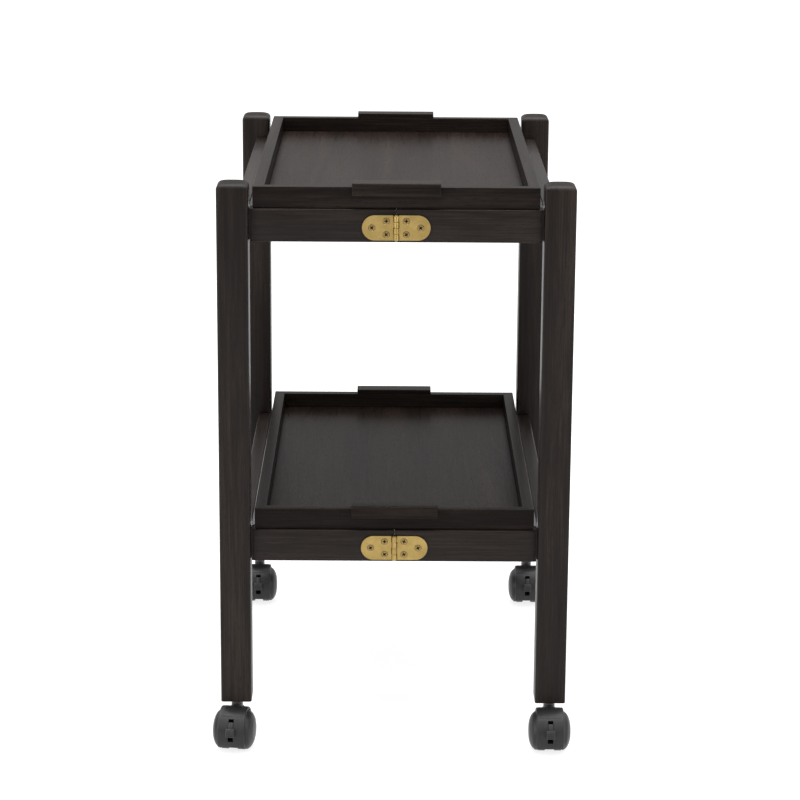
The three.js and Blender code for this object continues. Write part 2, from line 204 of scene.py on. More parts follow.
# ---------------------------------------------------------------- materials
class Nodes:
    """A material's node tree, with short calls for the nodes that the materials here share."""

    def __init__(self, name):
        self.material = bpy.data.materials.new(name)
        self.material.use_nodes = True
        self.tree = self.material.node_tree
        self.shader = self.tree.nodes["Principled BSDF"]

    def add(self, kind, **settings):
        node = self.tree.nodes.new(kind)
        for key, value in settings.items():
            setattr(node, key, value)
        return node

    def link(self, source, target):
        self.tree.links.new(source, target)

    def math(self, operation, first, second=None, clamp=False):
        node = self.add("ShaderNodeMath", operation=operation, use_clamp=clamp)
        for socket, value in zip(node.inputs, (first, second)):
            if value is None:
                continue
            if isinstance(value, (int, float)):
                socket.default_value = value
            else:
                self.link(value, socket)
        return node.outputs[0]

    def product(self, first, second):
        return self.math("MULTIPLY", first, second)

    def varied(self, base, noise, amount):
        """A number that goes up and down with a noise, by half the amount each way."""
        return self.math("ADD", base, self.product(self.math("SUBTRACT", noise, 0.5), amount))

    def scaled(self, vector, scale):
        node = self.add("ShaderNodeVectorMath", operation="MULTIPLY")
        self.link(vector, node.inputs[0])
        node.inputs[1].default_value = scale
        return node.outputs[0]

    def noise(self, vector, scale, detail=4, roughness=0.6, distortion=0):
        node = self.add("ShaderNodeTexNoise")
        self.link(vector, node.inputs["Vector"])
        node.inputs["Scale"].default_value = scale
        node.inputs["Detail"].default_value = detail
        node.inputs["Roughness"].default_value = roughness
        node.inputs["Distortion"].default_value = distortion
        return node.outputs["Fac"]

    def ramp(self, value, stops):
        node = self.add("ShaderNodeValToRGB")
        elements = node.color_ramp.elements
        while len(elements) < len(stops):
            elements.new(0.5)
        for element, (place, colour) in zip(elements, stops):
            element.position = place
            element.color = (*colour, 1) if isinstance(colour, tuple) else (colour, colour, colour, 1)
        self.link(value, node.inputs[0])
        return node.outputs[0]

    def between(self, noise, tones):
        """From the first tone to the second, over the middle of a noise's range."""
        return self.ramp(noise, list(zip((0.3, 0.7), tones)))

    def mix(self, factor, first, second):
        node = self.add("ShaderNodeMix", data_type="RGBA")
        for socket, value in ((node.inputs[0], factor), (node.inputs[6], first), (node.inputs[7], second)):
            if isinstance(value, tuple):
                socket.default_value = (*value, 1)
            elif isinstance(value, (int, float)):
                socket.default_value = value
            else:
                self.link(value, socket)
        return node.outputs[2]

    def bump(self, height, distance, strength):
        node = self.add("ShaderNodeBump")
        node.inputs["Distance"].default_value = distance
        node.inputs["Strength"].default_value = strength
        self.link(height, node.inputs["Height"])
        self.link(node.outputs[0], self.shader.inputs["Normal"])

    def set(self, name, value):
        if isinstance(value, (int, float, tuple)):
            self.shader.inputs[name].default_value = value
        else:
            self.link(value, self.shader.inputs[name])


def stained_wood(name, ior, depth=1.0, roughness=0.40, evenness=0.0, upright=False):
    """Black-brown stain: fine straight fibres, open pores, slow tone changes and slightly rubbed edges.

    Depth scales the stain's colours, and evenness draws them towards the middle one. An upright piece
    shows end grain on its top and foot, where the stain soaks in darker and duller.
    """
    n = Nodes(name)
    grain = n.add("ShaderNodeAttribute", attribute_name="grain").outputs["Vector"]
    half = n.add("ShaderNodeAttribute", attribute_name="half_size").outputs["Vector"]
    seed = n.add("ShaderNodeAttribute", attribute_name="seed").outputs["Fac"]
    offset = n.add("ShaderNodeCombineXYZ")
    for socket in offset.inputs:
        n.link(seed, socket)
    moved = n.add("ShaderNodeVectorMath", operation="ADD")
    n.link(grain, moved.inputs[0])
    n.link(offset.outputs[0], moved.inputs[1])
    place = moved.outputs[0]
    figure = n.noise(n.scaled(place, FIGURE_SCALE), 1, detail=3, distortion=0.6)
    fibres = n.noise(n.scaled(place, FIBRE_SCALE), 1, detail=5, roughness=0.65)
    pores = n.noise(n.scaled(place, PORE_SCALE), 1, detail=2)
    pore_mask = n.ramp(pores, [(0.30, 0.0), (0.42, 1.0)])
    tone = n.math("ADD", n.product(figure, 0.55), n.product(fibres, 0.45))
    stains = []
    for stain in (DARK_STAIN, MIDDLE_STAIN, PALE_STAIN):
        stains.append(tuple(depth * (c + evenness * (m - c)) for c, m in zip(stain, MIDDLE_STAIN)))
    colour = n.ramp(tone, list(zip(STAIN_STOPS, stains)))
    colour = n.mix(pore_mask, tuple(0.55 * c for c in stains[0]), colour)
    edge = edge_factor(n, grain, half)
    scuffs = n.noise(n.scaled(place, SCUFF_SCALE), 1, detail=4)
    worn = n.product(edge, n.ramp(scuffs, [(0.42, 0.15), (0.68, 1.0)]))
    colour = n.mix(n.product(worn, WEAR), colour, WORN_STAIN)
    rough = n.varied(roughness, fibres, 0.22)
    rough = n.math("ADD", rough, n.product(n.math("SUBTRACT", 1, pore_mask), 0.12))
    if upright:
        normal = n.add("ShaderNodeSeparateXYZ")
        n.link(n.add("ShaderNodeNewGeometry").outputs["Normal"], normal.inputs[0])
        steep = n.math("SUBTRACT", n.math("ABSOLUTE", normal.outputs["Z"]), END_GRAIN["steepness"])
        end = n.math("MULTIPLY", steep, END_GRAIN["sharpness"], clamp=True)
        colour = n.mix(n.product(end, END_GRAIN["darker"]), colour, DARK_STAIN)
        rough = n.math("ADD", rough, n.product(end, END_GRAIN["duller"]))
    n.set("Base Color", colour)
    n.set("Roughness", rough)
    n.set("IOR", ior)
    height = n.math("ADD", n.product(fibres, 0.5), n.product(pore_mask, 0.5))
    n.bump(height, WOOD_RELIEF, 0.6)
    return n.material


def edge_factor(n, grain, half):
    """1 on an arris, falling to 0 beside it, by the middle one of the distances to three face planes."""
    size = n.add("ShaderNodeVectorMath", operation="ABSOLUTE")
    n.link(grain, size.inputs[0])
    gap = n.add("ShaderNodeVectorMath", operation="SUBTRACT")
    n.link(half, gap.inputs[0])
    n.link(size.outputs[0], gap.inputs[1])
    parts = n.add("ShaderNodeSeparateXYZ")
    n.link(gap.outputs[0], parts.inputs[0])
    x, y, z = parts.outputs
    nearest = n.math("MINIMUM", x, y)
    other = n.math("MINIMUM", n.math("MAXIMUM", x, y), z)
    middle = n.math("MAXIMUM", nearest, other)
    fall = n.math("DIVIDE", middle, WEAR_REACH)
    return n.math("SUBTRACT", 1, fall, clamp=True)


def object_place(n):
    return n.add("ShaderNodeTexCoord").outputs["Object"]


def brass():
    """Lacquered brass, brushed along the leaf, with faint darker and paler patches."""
    n = Nodes("brass")
    place = object_place(n)
    patches = n.noise(place, 90, detail=3)
    brushed = n.noise(n.scaled(place, BRASS_BRUSHED), 1, detail=3)
    n.set("Base Color", n.between(patches, BRASS_TONES))
    n.set("Metallic", 1.0)
    n.set("Roughness", n.math("ADD", 0.24, n.product(brushed, 0.14)))
    n.bump(brushed, METAL_RELIEF, 0.35)
    return n.material


def turned_metal(name, colour, roughness):
    """Metal with the fine rings that turning leaves."""
    n = Nodes(name)
    place = object_place(n)
    turned = n.noise(n.scaled(place, METAL_TURNED), 1, detail=3)
    n.set("Base Color", n.mix(turned, tuple(0.8 * c for c in colour), colour))
    n.set("Metallic", 1.0)
    n.set("Roughness", n.math("ADD", roughness, n.product(turned, 0.15)))
    n.bump(turned, METAL_RELIEF, 0.3)
    return n.material


def plastic(name, tones, roughness, texture_scale):
    """Moulded nylon with a fine matt texture and slow clouding."""
    n = Nodes(name)
    place = object_place(n)
    clouds = n.noise(place, 45, detail=3)
    texture = n.noise(place, texture_scale, detail=2)
    n.set("Base Color", n.between(clouds, tones))
    n.set("Roughness", n.varied(roughness, clouds, 0.2))
    n.set("IOR", PLASTIC_IOR)
    n.bump(texture, PLASTIC_RELIEF, 0.5)
    return n.material


MATERIALS = {
    "frame_wood": stained_wood("frame_wood", ior=1.25),
    "leg_wood": stained_wood("leg_wood", ior=1.25, upright=True),
    # The tray walls and handles take a darker copy of the stain: partly their own darker tone, partly painted
    # shade for the darker upper front wall.
    "wall_wood": stained_wood("wall_wood", ior=1.17, depth=0.75),
    "panel_wood": stained_wood("panel_wood", ior=1.12, depth=1.05, roughness=0.30, evenness=0.5),
    "brass": brass(),
    "screw": turned_metal("screw_brass", (0.30, 0.21, 0.085), 0.3),
    # Near-black steel for the end hinge leaves: painted shade for the dark gap between leg and bar.
    "blackened": turned_metal("blackened_steel", (0.055, 0.050, 0.046), 0.42),
    "stem": turned_metal("dark_steel", (0.20, 0.19, 0.19), 0.38),
    "hood": plastic("hood_plastic", ((0.0120, 0.0112, 0.0114), (0.0185, 0.0173, 0.0176)), 0.42, 2200),
    "wheel": plastic("wheel_plastic", ((0.0130, 0.0122, 0.0124), (0.0200, 0.0188, 0.0191)), 0.38, 1600),
    "lever": plastic("lever_plastic", ((0.020, 0.019, 0.0195), (0.030, 0.0285, 0.029)), 0.4, 1800),
}

# ---------------------------------------------------------------- mesh helpers
# Booleans weld points that are nearer than this.
WELD = 1e-4
# Turns a shape drawn as (y, z) in X and Y, with its width along Z, so that its width is along X.
WIDTH_ALONG_X = Matrix(((0, 0, 1, 0), (1, 0, 0, 0), (0, 1, 0, 0), (0, 0, 0, 1)))


def loft(rings):
    """A closed bmesh through rings of points, from low to high."""
    bm = bmesh.new()
    made = [[bm.verts.new(point) for point in ring] for ring in rings]
    count = len(rings[0])
    for lower, upper in zip(made, made[1:]):
        for i in range(count):
            j = (i + 1) % count
            bm.faces.new((lower[i], lower[j], upper[j], upper[i]))
    bm.faces.new(list(reversed(made[0])))
    bm.faces.new(made[-1])
    return bm


def prism(outline, low, high):
    """A closed bmesh of an outline in X and Y, between two heights."""
    return loft([[(x, y, z) for x, y in outline] for z in (low, high)])


def block(low, high):
    outline = [(low[0], low[1]), (high[0], low[1]), (high[0], high[1]), (low[0], high[1])]
    return prism(outline, low[2], high[2])


def arc(x, y, radius, start, stop, steps):
    """Points along part of a circle, from one angle in degrees to another."""
    angles = [math.radians(start + (stop - start) * step / steps) for step in range(steps + 1)]
    return [(x + radius * math.cos(a), y + radius * math.sin(a)) for a in angles]


def eased(radius):
    """An eased edge as three [inset, distance from the end] points."""
    return [(radius, 0), (radius * 0.3, radius * 0.3), (0, radius)]


def rounded_rectangle(width, depth, radius):
    points = []
    for quarter, (x, y) in enumerate([(1, -1), (1, 1), (-1, 1), (-1, -1)]):
        centre = (x * (width / 2 - radius), y * (depth / 2 - radius))
        points += arc(*centre, radius, 90 * (quarter - 1), 90 * quarter, 4)
    return points


def faced_outwards(bm):
    bmesh.ops.recalc_face_normals(bm, faces=bm.faces)
    return bm


def lathe(profile, segments):
    """A closed body turned round Z from [radius, height] points that start and end on the axis."""
    bm = bmesh.new()
    rings = []
    for radius, z in profile:
        if radius < 1e-6:
            rings.append([bm.verts.new((0, 0, z))])
            continue
        turn = [2 * math.pi * i / segments for i in range(segments)]
        rings.append([bm.verts.new((radius * math.cos(a), radius * math.sin(a), z)) for a in turn])
    for lower, upper in zip(rings, rings[1:]):
        for i in range(segments):
            j = (i + 1) % segments
            if len(lower) == 1:
                bm.faces.new((lower[0], upper[j], upper[i]))
            elif len(upper) == 1:
                bm.faces.new((lower[i], lower[j], upper[0]))
            else:
                bm.faces.new((lower[i], lower[j], upper[j], upper[i]))
    return faced_outwards(bm)


def disc(radius, low, high, chamfer=0.0, segments=56):
    """A cylinder round Z between two heights, with or without chamfers."""
    profile = [(0, low), (radius - chamfer, low), (radius, low + chamfer)]
    profile += [(radius, high - chamfer), (radius - chamfer, high), (0, high)]
    if chamfer == 0:
        profile = [(0, low), (radius, low), (radius, high), (0, high)]
    return lathe(profile, segments)


def bevel_edges(bm, edges, width, segments):
    bmesh.ops.bevel(
        bm, geom=edges, offset=width, segments=segments, profile=0.5, affect="EDGES", clamp_overlap=True
    )
    return bm


def bevel(bm, width, segments):
    """Rounds every edge sharper than 30 degrees."""
    limit = math.radians(30)
    edges = [e for e in bm.edges if len(e.link_faces) == 2 and e.calc_face_angle(0) > limit]
    return bevel_edges(bm, edges, width, segments)


def to_object(bm, name):
    mesh = bpy.data.meshes.new(name)
    bm.to_mesh(mesh)
    bm.free()
    obj = bpy.data.objects.new(name, mesh)
    bpy.context.scene.collection.objects.link(obj)
    return obj


def boolean(bm, tools, operation):
    """The bmesh joined with or cut by others, by Blender's exact boolean."""
    obj = to_object(bm, "work")
    helpers = []
    for tool in tools:
        helper = to_object(tool, "tool")
        helpers.append(helper)
        modifier = obj.modifiers.new("boolean", "BOOLEAN")
        modifier.operation = operation
        modifier.solver = "EXACT"
        modifier.object = helper
    bpy.context.view_layer.update()
    graph = bpy.context.evaluated_depsgraph_get()
    made = obj.evaluated_get(graph).to_mesh()
    result = bmesh.new()
    result.from_mesh(made)
    for item in [obj, *helpers]:
        mesh = item.data
        bpy.data.objects.remove(item)
        bpy.data.meshes.remove(mesh)
    bmesh.ops.remove_doubles(result, verts=result.verts, dist=WELD)
    bmesh.ops.dissolve_degenerate(result, edges=result.edges, dist=WELD)
    return result


def join(bm, *tools):
    return boolean(bm, tools, "UNION")


def cut(bm, *tools):
    return boolean(bm, tools, "DIFFERENCE")


def mirrored(bm, side, end):
    bm.transform(Matrix.Diagonal((side, end, 1, 1)))
    if side * end < 0:
        bmesh.ops.reverse_faces(bm, faces=bm.faces)
    return bm


def piece(name, bm, look, body, replaced=(), smooth=35, place=None):
    """Scales a bmesh from cart millimetres to the frame and makes it ride on its body."""
    if place is not None:
        bm.transform(place)
    bm.transform(Matrix.Scale(MM, 4) @ Matrix.Translation(MIDDLE))
    obj = to_object(bm, name)
    obj.data.materials.append(MATERIALS[look])
    obj.data.shade_smooth()
    obj.data.set_sharp_from_angle(angle=math.radians(smooth))
    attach(obj, body)
    if replaced:
        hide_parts(*replaced)
    return obj


# ---------------------------------------------------------------- wood
# The order of a piece's axes that puts the one along its fibres first.
GRAIN_ORDER = {"X": (0, 1, 2), "Y": (1, 0, 2), "Z": (2, 0, 1)}
wood_numbers = itertools.count(1)


def wood_piece(name, bm, axis, body, replaced=(), smooth=35, look="frame_wood"):
    """A wooden piece whose fibres run along one axis. Each one starts elsewhere in the grain pattern."""
    corners = [Vector([pick(v.co[i] for v in bm.verts) for i in range(3)]) for pick in (min, max)]
    centre, half = (corners[0] + corners[1]) / 2, (corners[1] - corners[0]) / 2
    order = GRAIN_ORDER[axis]
    mesh = piece(name, bm, look, body, replaced, smooth).data
    for key, kind in (("grain", "FLOAT_VECTOR"), ("half_size", "FLOAT_VECTOR"), ("seed", "FLOAT")):
        mesh.attributes.new(key, kind, "POINT")
    grain, half_size, seed = (mesh.attributes[key].data for key in ("grain", "half_size", "seed"))
    origin = to_row(centre)
    start = GRAIN_STEP * next(wood_numbers)
    for vertex in mesh.vertices:
        local = vertex.co - origin
        grain[vertex.index].vector = [local[i] for i in order]
        half_size[vertex.index].vector = [half[i] * MM for i in order]
        seed[vertex.index].value = start


def leg(end, side):
    """A square leg with a domed top and a bore for the caster's stem."""
    name = f"{end}_{side}_leg"
    low, high = cart_box(name)
    centre = (low + high) / 2
    size = high.x - low.x
    width, height, steps = LEG["dome_width"], LEG["dome_height"], LEG["dome_steps"]
    stations = [(inset, low.z + up) for inset, up in eased(LEG["foot"])]
    stations += [(0, low.z + (high.z - low.z) * share) for share in (0.25, 0.5, 0.75)]
    for step in range(steps + 1):
        angle = math.radians(90 * step / steps)
        stations.append((width * (1 - math.cos(angle)), high.z - height + height * math.sin(angle)))
    rings = []
    for inset, z in stations:
        outline = rounded_rectangle(size - 2 * inset, size - 2 * inset, LEG["edge"] + inset / 2)
        rings.append([(centre.x + x, centre.y + y, z) for x, y in outline])
    bore_top = low.z + STEM["length"] + LEG_BORE_ROOM["above"]
    bore = disc(STEM["radius"] + LEG_BORE_ROOM["round"], low.z - 1, bore_top)
    bore.transform(Matrix.Translation((centre.x, centre.y, 0)))
    wood_piece(f"{name}_wood", cut(loft(rings), bore), "Z", f"{side}_side_frame", [name], look="leg_wood")


def stick(low, high, along, end):
    """A rail or bar with rounded long edges and eased ends, between two corners, along X (0) or Y (1)."""
    centre, size = (low + high) / 2, high - low
    half = size[along] / 2
    stations = [(inset, -half + at) for inset, at in eased(end)]
    far_end = [(inset, -at) for inset, at in reversed(stations)]
    stations += [(0, half * share) for share in (-0.5, 0, 0.5)] + far_end
    rings = []
    for inset, at in stations:
        outline = rounded_rectangle(size[1 - along] - 2 * inset, size.z - 2 * inset, STICK_EDGE)
        ring = []
        for across, up in outline:
            point = [centre.x + across, centre.y + across, centre.z + up]
            point[along] = centre[along] + at
            ring.append(point)
        rings.append(ring)
    return faced_outwards(loft(rings))


def rails_and_bars():
    """The rails stop at the legs, and the two halves of a bar nearly meet."""
    for level in LEVELS:
        for side in SIDES:
            node = f"{level}_{side}_rail"
            low, high = cart_box(node)
            reach = cart_box(f"rear_{side}_leg")[0].y - RAIL_LEG_GAP
            low.y, high.y = -reach, reach
            wood_piece(f"{node}_wood", stick(low, high, 1, RAIL_END), "Y", f"{side}_side_frame", [node])
            for end in ENDS:
                node = f"{end}_{level}_{side}_bar"
                low, high = cart_box(node)
                if side == "left":
                    high.x = -BAR_MIDDLE_GAP
                else:
                    low.x = BAR_MIDDLE_GAP
                body = f"{end}_{level}_{side}_half"
                wood_piece(f"{node}_wood", stick(low, high, 0, BAR_END), "X", body, [node])


# ---------------------------------------------------------------- trays
def wall_profile(height):
    """[distance in from the outer face, height] round a tray wall, with the panel's groove."""
    points = list(reversed(eased(WALL_FOOT)))
    points += [(WALL, 0), (WALL, GROOVE[0]), (GROOVE_FLOOR, GROOVE[0])]
    points += [(GROOVE_FLOOR, GROOVE[1]), (WALL, GROOVE[1])]
    points += arc(WALL - ARRIS, height - ARRIS, ARRIS, 0, 90, 5)
    return points + arc(ARRIS, height - ARRIS, ARRIS, 90, 180, 5)


def tray_wall(level, name, along, sign, replaced=()):
    """One mitred wall: along is the axis it runs along, and sign the side of the tray that it closes."""
    low, high = cart_box(f"{level}_tray_frame")
    middle = [(low[i] + high[i]) / 2 for i in range(2)]
    half = [(high[i] - low[i]) / 2 for i in range(2)]
    rings = []
    for end in (-1, 1):
        ring = []
        for inset, z in wall_profile(high.z - low.z):
            point = [0, 0, low.z + z]
            point[along] = middle[along] + end * (half[along] - inset - MITRE_SEAM)
            point[1 - along] = middle[1 - along] + sign * (half[1 - along] - inset)
            ring.append(point)
        rings.append(ring)
    bm = faced_outwards(loft(rings))
    wood_piece(f"{level}_tray_{name}_wall", bm, "XY"[along], f"{level}_tray", replaced, look="wall_wood")


def tray_panel(level):
    """The floor panel, with a thinner tongue all round that sits in the walls' grooves."""
    node = f"{level}_tray_panel"
    low, high = cart_box(node)
    tongue, edge = PANEL["tongue"], PANEL["edge"]
    shoulder = low.z + PANEL["tongue_height"]
    stations = [(0, low.z), (0, shoulder), (tongue, shoulder)]
    stations += [(tongue, high.z - edge), (tongue + edge, high.z)]
    rings = []
    for inset, z in stations:
        x, y = high.x - inset, high.y - inset
        rings.append([(-x, -y, z), (x, -y, z), (x, y, z), (-x, y, z)])
    wood_piece(f"{node}_wood", loft(rings), "Y", f"{level}_tray", [node], 20, "panel_wood")


def tray_handle(level, end):
    """A grip that sits over the wall's rim and hangs down its outer face."""
    node = f"{level}_tray_{end}_handle"
    low, high = cart_box(node)
    rim = cart_box(f"{level}_tray_frame")[1].z + HANDLE_GAP["rim"]
    length = high.x - low.x
    outer, inner = (high.y, low.y) if end == "rear" else (-low.y, -high.y)
    wall_face = inner + WALL + HANDLE_GAP["wall"]
    outer_round, inner_round, foot = HANDLE["outer_round"], HANDLE["inner_round"], HANDLE["foot_round"]
    outline = arc(outer - outer_round, high.z - outer_round, outer_round, 0, 90, 6)
    outline += arc(inner + inner_round, high.z - inner_round, inner_round, 90, 180, 6)
    outline += [(inner, rim), (wall_face, rim), (wall_face, low.z)]
    outline += arc(outer - foot, low.z + foot, foot, -90, 0, 4)
    bm = prism(outline, -length / 2, length / 2)
    bm.transform(WIDTH_ALONG_X)
    ends = [e for e in bm.edges if len({round(v.co.x, 3) for v in e.verts}) == 1]
    bm = mirrored(bevel_edges(bm, ends, HANDLE["end_round"], 4), 1, ENDS[end])
    wood_piece(f"{node}_wood", bm, "X", f"{level}_tray", [node], look="wall_wood")


def trays():
    for level in LEVELS:
        tray_wall(level, "front", 0, -1, [f"{level}_tray_frame"])
        tray_wall(level, "rear", 0, 1)
        tray_wall(level, "left", 1, -1)
        tray_wall(level, "right", 1, 1)
        tray_panel(level)
        for end in ENDS:
            tray_handle(level, end)


# ---------------------------------------------------------------- centre hinges
def rod(radius, low, high, y, chamfer=0.25):
    """An upright cylinder round the hinge's pin."""
    bm = disc(radius, low, high, chamfer, 40)
    bm.transform(Matrix.Translation((0, y, 0)))
    return bm


def leaf_plate(face, middle):
    """The round-ended plate, outer face away from the bar, with a small bevel round it."""
    end = LEAF["height"] / 2
    start = LEAF["barrel"] + LEAF_BARREL_GAP
    outline = [(start, -end), *arc(LEAF["half"] - end, 0, end, -90, 90, 28), (start, end)]
    bm = bevel(prism(outline, 0, LEAF["thickness"]), LEAF["bevel"], 3)
    bm.transform(Matrix(((1, 0, 0, 0), (0, 0, 1, face), (0, 1, 0, middle), (0, 0, 0, 1))))
    bmesh.ops.reverse_faces(bm, faces=bm.faces)
    return bm


def countersink(x, z, face):
    """The tool that cuts a screw's hole, with its mouth at the leaf's outer face."""
    hole, mouth = SCREW_HOLE, SCREW_HEAD + 0.35
    bm = lathe([(0, -1), (hole, -1), (hole, 0.1), (mouth, 1.9), (mouth + 0.4, 2.3), (0, 2.3)], 40)
    bm.transform(Matrix.Translation((x, face, z)) @ Matrix.Rotation(-math.pi / 2, 4, "X"))
    return bm


def centre_leaf(level, owned):
    """A leaf drawn for the rear right quarter, with its own knuckles, counted from the top."""
    low, high = cart_box(f"rear_{level}_left_centre_leaf")
    middle, top = (low.z + high.z) / 2, high.z
    pin_y = high.y - LEAF["barrel"]
    face = cart_box(f"rear_{level}_left_bar")[1].y + LEAF_STAND_OFF
    pitch = LEAF["height"] / KNUCKLES
    joined = []
    for knuckle in owned:
        upper = top - knuckle * pitch - KNUCKLE_GAP
        lower = top - (knuckle + 1) * pitch + KNUCKLE_GAP
        joined.append(rod(LEAF["barrel"], lower, upper, pin_y))
        joined.append(block((0.01, face + 0.02, lower + 0.02), (KNUCKLE_WEB, face + 1.85, upper - 0.02)))
    bm = join(leaf_plate(face, middle), *joined)
    cutters = [countersink(x, middle + z, face) for x, z in SCREWS]
    cutters.append(rod(LEAF["pin"] + PIN_ROOM, low.z - 3, high.z + 3, pin_y, 0))
    return cut(bm, *cutters), middle, top, face, pin_y


def screw(turn):
    """A countersunk cross-head screw, head up, with the rim of its head near height 0."""
    shank, head = SCREW_SHANK, SCREW_HEAD
    profile = [(0, -9), (0.6, -8.4), (shank, -7), (shank, -2.2), (head - 0.35, -0.25), (head - 0.1, -0.05)]
    for step in range(6):
        angle = math.radians(90 * step / 6)
        profile.append(((head - 0.15) * math.cos(angle), SCREW_CROWN * math.sin(angle)))
    profile.append((0, SCREW_CROWN))
    arm, width = CROSS["arm"], CROSS["width"]
    arms = []
    for a, b in ((arm, width), (width, arm)):
        rings = []
        for share, z in ((CROSS["shrink"], -CROSS["depth"]), (1.0, 0.6)):
            x, y = a * share, b * share
            rings.append([(-x, -y, z), (x, -y, z), (x, y, z), (-x, y, z)])
        arms.append(loft(rings))
    bm = cut(lathe(profile, 40), join(*arms))
    bm.transform(Matrix.Rotation(turn, 4, "Z"))
    return bm


def hinge_pin(low, high, y):
    """The pin through the knuckles, with a low domed head on top."""
    radius, head = LEAF["pin"], PIN_HEAD
    profile = [(0, low - 0.6), (radius, low - 0.5), (radius, high), (head, high + 0.05)]
    profile += [(head + 0.1, high + 0.35), (head, high + 0.75), (head * 0.7, high + 1.05), (0, high + 1.15)]
    bm = lathe(profile, 32)
    bm.transform(Matrix.Translation((0, y, 0)))
    return bm


def centre_hinges():
    screw_numbers = itertools.count(1)
    for level in LEVELS:
        for side, side_sign in SIDES.items():
            owned = (0, 2) if side == "right" else (1, 3)
            for end, end_sign in ENDS.items():
                name = f"{end}_{level}_{side}"
                body = f"{name}_half"
                bm, middle, top, face, pin_y = centre_leaf(level, owned)
                bm = mirrored(bm, side_sign, end_sign)
                piece(f"{name}_hinge_leaf", bm, "brass", body, [f"{name}_centre_leaf"], smooth=25)
                outward = Matrix.Rotation(-end_sign * math.pi / 2, 4, "X")
                crown = end_sign * (face + LEAF["thickness"] - SCREW_SUNK)
                for number, (x, z) in enumerate(SCREWS, start=1):
                    place = Matrix.Translation((side_sign * x, crown, middle + z)) @ outward
                    bm = screw(next(screw_numbers) * SCREW_TURN)
                    piece(f"{name}_screw_{number}", bm, "screw", body, smooth=30, place=place)
                if side == "right":
                    pin = hinge_pin(middle - LEAF["height"] / 2, top, end_sign * pin_y)
                    piece(f"{end}_{level}_hinge_pin", pin, "screw", body, smooth=30)


# ---------------------------------------------------------------- casters
def along_x(bm):
    """Turns a body drawn round Z so that it is round the axle."""
    bm.transform(Matrix.Translation(AXLE) @ Matrix.Rotation(math.pi / 2, 4, "Y"))
    return bm


def sector(half, outer, low, high, inner=0, steps=40):
    """Part of a disc or ring round the axle, between two angles up from the front, with its width along X."""

    def sweep(radius, start, stop):
        turns = [math.radians(start + (stop - start) * i / steps) for i in range(steps + 1)]
        return [(AXLE.y - radius * math.cos(a), AXLE.z + radius * math.sin(a)) for a in turns]

    outline = sweep(outer, high, low)
    outline += sweep(inner, low, high) if inner else [(AXLE.y, AXLE.z)]
    bm = prism(outline, -half, half)
    bm.transform(WIDTH_ALONG_X)
    return faced_outwards(bm)


def wheel_wells():
    spans = ((HOOD["web"], THROUGH), (-THROUGH, -HOOD["web"]))
    return [along_x(disc(HOOD["inner"], *span)) for span in spans]


def hood():
    """The cover over both wheels: a shell with a web between the wheels, a raised ridge and a collar."""
    shell = bevel(sector(HOOD["half"], HOOD["outer"], HOOD["front"], HOOD["back"]), HOOD["round"], 4)
    ridge_top = HOOD["outer"] + RIDGE["proud"]
    ridge = sector(RIDGE["half"], ridge_top, RIDGE["low"], RIDGE["high"], RIDGE["inner"], 24)
    collar = disc(NECK + COLLAR["wall"], COLLAR["low"], COLLAR["high"], COLLAR["chamfer"])
    hub = along_x(disc(HUB, -HOOD["web"], HOOD["web"]))
    bm = join(shell, bevel(ridge, RIDGE["round"], 2), collar, hub)
    slot = sector(SLOT["half"], THROUGH, SLOT["low"], SLOT["high"], SLOT["inner"], 16)
    bore = along_x(disc(AXLE_ROD["bore"], -THROUGH, THROUGH))
    socket = disc(NECK + NECK_ROOM, NECK_FOOT - 1, LEG_FOOT + 4)
    return cut(bm, *wheel_wells(), slot, bore, socket)


def stem():
    """The turned steel collar under the leg, with two grooves, and the stem that goes up into it."""
    top = LEG_FOOT - 0.5
    profile = [(0, NECK_FOOT - 0.8), (NECK - 0.3, NECK_FOOT - 0.8), (NECK, NECK_FOOT - 0.5)]
    for down in STEM_GROOVES:
        low = top - down
        profile += [(NECK, low), (NECK - 0.5, low + 0.3), (NECK - 0.5, low + 0.9), (NECK, low + 1.2)]
    radius, tip = STEM["radius"], top + STEM["length"]
    profile += [(NECK, top - 1.4), (NECK - 0.6, top - 0.6), (NECK - 1.6, top)]
    profile += [(radius, top), (radius, tip - 2), (radius - 1.2, tip), (0, tip)]
    return cut(lathe(profile, 48), *wheel_wells())


def wheel(sign):
    """A domed wheel: inner face, tread with eased edges, a narrow groove, then a dome with two fine steps."""
    inner, tread, bulge, radius = (WHEEL[key] for key in ("inner", "tread", "bulge", "radius"))
    steps = WHEEL["dome_steps"]
    points = [(0, inner), (radius - 3, inner), (radius - 2.4, inner + 0.5), (radius - 0.8, inner + 0.6)]
    points += [(radius, inner + 1.4), (radius, tread - 1), (radius - 0.5, tread - 0.3)]
    points += [(radius - 1.1, tread), (radius - 1.1, tread + 0.5)]
    for step in range(1, steps):
        angle = math.radians(90 * step / steps)
        reach = radius * math.cos(angle) ** WHEEL["dome_power"] - 0.25
        points.append((reach, tread + bulge * math.sin(angle)))
        if step in WHEEL_STEPS:
            points.append((points[-1][0] - 0.45, points[-1][1] - 0.25))
    points.append((0, tread + bulge))
    return along_x(lathe([(r, sign * z) for r, z in points], 72))


def lever():
    """The brake lever: an arm in the hood's slot, and a foot tab with three grip grooves."""
    arm = sector(LEVER["half"], LEVER["outer"], LEVER["low"], LEVER["high"], LEVER["inner"], 10)
    tab = sector(TAB["half"], TAB["outer"], TAB["low"], TAB["high"], TAB["inner"], 8)
    bm = join(bevel(arm, LEVER["round"], 2), bevel(tab, TAB["round"], 3))
    grooves = []
    for start in TAB_GROOVE_STARTS:
        stop = start + TAB_GROOVE["height"]
        groove = sector(TAB_GROOVE["half"], TAB_GROOVE["outer"], start, stop, TAB_GROOVE["inner"], 3)
        grooves.append(bevel(groove, TAB_GROOVE["round"], 2))
    return cut(bm, *grooves)


